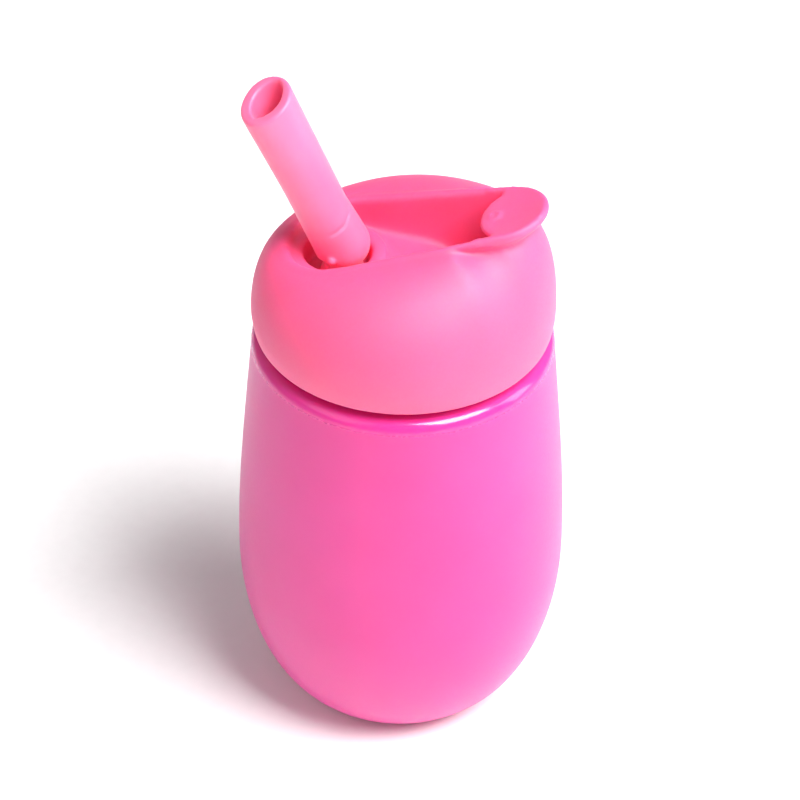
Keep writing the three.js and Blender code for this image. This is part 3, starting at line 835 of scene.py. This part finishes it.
class Finish:
    """A node material on the Principled shader, with functions that add its textures."""

    def __init__(self, name):
        self.material = bpy.data.materials.new(name)
        self.material.use_nodes = True
        self.tree = self.material.node_tree
        self.shader = self.tree.nodes["Principled BSDF"]
        self.place = self.tree.nodes.new("ShaderNodeTexCoord").outputs["Object"]

    def set(self, **values):
        for name, value in values.items():
            self.shader.inputs[name.replace("_", " ")].default_value = value

    def link(self, output, name):
        self.tree.links.new(output, self.shader.inputs[name])

    def noise(self, scale, detail=3.0, stretch=(1, 1, 1)):
        """Noise whose features are about 1 / scale metres across."""
        mapping = self.tree.nodes.new("ShaderNodeMapping")
        mapping.inputs["Scale"].default_value = stretch
        self.tree.links.new(self.place, mapping.inputs["Vector"])
        texture = self.tree.nodes.new("ShaderNodeTexNoise")
        texture.inputs["Scale"].default_value = scale
        texture.inputs["Detail"].default_value = detail
        self.tree.links.new(mapping.outputs["Vector"], texture.inputs["Vector"])
        return texture.outputs["Fac"]

    def range(self, source, low, high, from_low=0.3, from_high=0.7):
        node = self.tree.nodes.new("ShaderNodeMapRange")
        node.inputs["From Min"].default_value = from_low
        node.inputs["From Max"].default_value = from_high
        node.inputs["To Min"].default_value = low
        node.inputs["To Max"].default_value = high
        self.tree.links.new(source, node.inputs["Value"])
        return node.outputs["Result"]

    def height_of_point(self):
        node = self.tree.nodes.new("ShaderNodeSeparateXYZ")
        self.tree.links.new(self.place, node.inputs["Vector"])
        return node.outputs["Z"]

    def math(self, operation, first, second):
        node = self.tree.nodes.new("ShaderNodeMath")
        node.operation = operation
        for socket, value in zip(node.inputs, (first, second)):
            if isinstance(value, (int, float)):
                socket.default_value = value
            else:
                self.tree.links.new(value, socket)
        return node.outputs["Value"]

    def colour(self, source, low, high):
        """Mixes two colours by a value from 0 to 1."""
        node = self.tree.nodes.new("ShaderNodeMix")
        node.data_type = "RGBA"
        node.inputs[6].default_value = (*low, 1)
        node.inputs[7].default_value = (*high, 1)
        self.tree.links.new(source, node.inputs["Factor"])
        self.link(node.outputs[2], "Base Color")

    def bump(self, source, depth, strength=1.0):
        """Bumps whose height is depth millimetres."""
        node = self.tree.nodes.new("ShaderNodeBump")
        node.inputs["Distance"].default_value = depth * MM
        node.inputs["Strength"].default_value = strength
        self.tree.links.new(source, node.inputs["Height"])
        self.link(node.outputs["Normal"], "Normal")


def frosted_pink():
    """Translucent body plastic: etched outside below the shoulder, polished above it."""
    finish = Finish("frosted_pink")
    finish.set(
        Subsurface_Weight=0.5,
        Subsurface_Radius=(1.0, 0.28, 0.55),
        Subsurface_Scale=0.004,
        Transmission_Weight=0.3,
        IOR=1.49,
        Specular_IOR_Level=0.6,
        Coat_Weight=0.1,
        Coat_Roughness=0.7,
        Coat_IOR=1.7,
    )
    cloud = finish.noise(28, 2)
    grain = finish.noise(1500, 4)
    finish.colour(finish.range(cloud, 0, 1), (0.96, 0.040, 0.36), (0.985, 0.055, 0.40))
    frost = finish.range(finish.height_of_point(), 1, 0, 0.0965, 0.0985)
    rough = finish.math("MULTIPLY_ADD", frost, 0.24)
    rough.node.inputs[2].default_value = 0.14
    varied = finish.math("ADD", rough, finish.range(grain, -0.03, 0.03))
    finish.link(varied, "Roughness")
    finish.bump(finish.math("MULTIPLY", grain, frost), 0.035, 0.6)
    return finish.material


def lid_pink():
    """Opaque lid plastic with a fine spark-eroded grain."""
    finish = Finish("lid_pink")
    finish.set(
        Subsurface_Weight=0.75,
        Subsurface_Radius=(1.0, 0.12, 0.45),
        Subsurface_Scale=0.006,
        IOR=1.49,
        Specular_IOR_Level=1.0,
        Coat_Weight=1.0,
        Coat_Roughness=0.85,
        Coat_IOR=1.95,
    )
    cloud = finish.noise(40, 3)
    grain = finish.noise(1900, 5)
    finish.colour(finish.range(cloud, 0, 1), (0.95, 0.014, 0.185), (0.98, 0.022, 0.21))
    finish.link(finish.range(grain, 0.58, 0.68), "Roughness")
    finish.bump(grain, 0.03, 0.6)
    return finish.material


def straw_pink():
    """Soft silicone: paler, waxy, with faint draw lines along the straw."""
    finish = Finish("straw_pink")
    finish.set(
        Subsurface_Weight=0.6,
        Subsurface_Radius=(1.0, 0.35, 0.6),
        Subsurface_Scale=0.0025,
        IOR=1.43,
        Specular_IOR_Level=1.0,
        Coat_Weight=1.0,
        Coat_Roughness=0.85,
        Coat_IOR=2.2,
        Sheen_Weight=0.08,
        Sheen_Roughness=0.5,
    )
    cloud = finish.noise(60, 3)
    grain = finish.noise(1300, 4, (1, 1, 0.35))
    finish.colour(finish.range(cloud, 0, 1), (0.96, 0.065, 0.255), (0.98, 0.09, 0.285))
    finish.link(finish.range(grain, 0.4, 0.52), "Roughness")
    finish.bump(grain, 0.03, 0.5)
    return finish.material


def clear_silicone():
    finish = Finish("clear_silicone")
    finish.set(
        Subsurface_Weight=0.4,
        Subsurface_Radius=(1.0, 0.9, 0.9),
        Subsurface_Scale=0.002,
        Transmission_Weight=0.4,
        IOR=1.41,
    )
    cloud = finish.noise(90, 2)
    grain = finish.noise(1200, 3)
    finish.colour(finish.range(cloud, 0, 1), (0.86, 0.80, 0.82), (0.92, 0.88, 0.89))
    finish.link(finish.range(grain, 0.32, 0.45), "Roughness")
    finish.bump(grain, 0.02, 0.5)
    return finish.material


def natural_tube():
    finish = Finish("natural_tube")
    finish.set(
        Subsurface_Weight=0.4,
        Subsurface_Radius=(1.0, 0.9, 0.9),
        Subsurface_Scale=0.002,
        Transmission_Weight=0.5,
        IOR=1.5,
    )
    cloud = finish.noise(70, 2)
    draw = finish.noise(900, 3, (1, 1, 0.04))
    finish.colour(finish.range(cloud, 0, 1), (0.90, 0.84, 0.85), (0.95, 0.92, 0.92))
    finish.link(finish.range(draw, 0.25, 0.4), "Roughness")
    finish.bump(draw, 0.02, 0.5)
    return finish.material


def floor_paper():
    finish = Finish("floor_paper")
    finish.set(Specular_IOR_Level=0.2)
    grain = finish.noise(300, 3)
    finish.colour(finish.range(grain, 0, 1), (0.93, 0.925, 0.925), (0.95, 0.945, 0.945))
    finish.link(finish.range(grain, 0.85, 0.95), "Roughness")
    return finish.material


# ---- stage, light and camera --------------------------------------------------------------------

# How the camera sees the object: direction, distance and the point it looks at, in millimetres.
CAMERA_AZIMUTH = math.radians(10.3)
CAMERA_ELEVATION = math.radians(40)
CAMERA_ROLL = math.radians(0.7)
CAMERA_LENS = 157.5
CAMERA_DISTANCE = 778.75
CAMERA_AIM_X = -0.5
CAMERA_AIM_Z = 79.6

WORLD_STRENGTH = 0.3
LIGHT_AIM_Z = 0.07  # height that the soft boxes face, in metres


def direction(azimuth, elevation):
    """Unit vector towards that azimuth, which is 0 in front and 90 at the right, and elevation."""
    flat = math.cos(elevation)
    return Vector((math.sin(azimuth) * flat, -math.cos(azimuth) * flat, math.sin(elevation)))


def make_camera():
    camera = bpy.data.objects.new("camera", bpy.data.cameras.new("camera"))
    bpy.context.scene.collection.objects.link(camera)
    camera.data.lens = CAMERA_LENS
    back = direction(CAMERA_AZIMUTH, CAMERA_ELEVATION)
    right = (-back).cross(Vector((0, 0, 1))).normalized()
    aim = CAMERA_AIM_X * right + Vector((0, 0, CAMERA_AIM_Z))
    up = right.cross(-back)
    rolled_right = right * math.cos(CAMERA_ROLL) + up * math.sin(CAMERA_ROLL)
    rolled_up = up * math.cos(CAMERA_ROLL) - right * math.sin(CAMERA_ROLL)
    turn = Matrix((rolled_right, rolled_up, back)).transposed().to_4x4()
    camera.matrix_world = Matrix.Translation((aim + CAMERA_DISTANCE * back) * MM) @ turn
    bpy.context.scene.camera = camera


def area_light(name, azimuth, elevation, distance, width, height, power):
    """A soft box that faces the cup's middle. Lengths are in metres."""
    light = bpy.data.lights.new(name, "AREA")
    light.shape = "RECTANGLE"
    light.size, light.size_y = width, height
    light.energy = power
    obj = bpy.data.objects.new(name, light)
    bpy.context.scene.collection.objects.link(obj)
    out = direction(math.radians(azimuth), math.radians(elevation))
    obj.location = Vector((0, 0, LIGHT_AIM_Z)) + distance * out
    obj.rotation_mode = "QUATERNION"
    obj.rotation_quaternion = (-out).to_track_quat("-Z", "Y")


def make_stage():
    size = 3.0
    floor = new_object(
        "floor",
        [(x * size / MM, y * size / MM, 0) for x, y in ((-1, -1), (1, -1), (1, 1), (-1, 1))],
        [(0, 1, 2, 3)],
    )
    floor.data.materials.append(floor_paper())
    world = bpy.data.worlds.new("studio")
    bpy.context.scene.world = world
    world.use_nodes = True
    world.node_tree.nodes["Background"].inputs["Color"].default_value = (1, 1, 1, 1)
    world.node_tree.nodes["Background"].inputs["Strength"].default_value = WORLD_STRENGTH
    area_light("key", 62, 58, 1.0, 0.55, 0.55, 18)
    area_light("front_left", -40, 40, 0.9, 0.6, 0.6, 1.2)
    area_light("right_edge", 100, 25, 0.9, 0.3, 0.6, 3)
    bpy.context.scene.view_settings.view_transform = "Standard"


# ---- assembly -----------------------------------------------------------------------------------

def add(piece, body, slot, material, *nodes):
    piece.data.materials.clear()
    piece.data.materials.append(material)
    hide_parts(*nodes)
    if body:
        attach(piece, body)


make_camera()
make_stage()
add(make_cup(), "cup", "cup_body", frosted_pink(), "cup_body")
add(make_lid(), "lid", "lid_shell", lid_pink(), "lid_shell")
add(make_seal(), "seal", "lid_seal", clear_silicone(), "lid_seal")
add(make_dip_tube(), "lid", "dip_tube", natural_tube(), "dip_tube")
straw = make_straw()
add(straw, None, "straw_silicone", straw_pink(), "straw_boot", "straw_tube", "straw_tip")
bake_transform(straw)
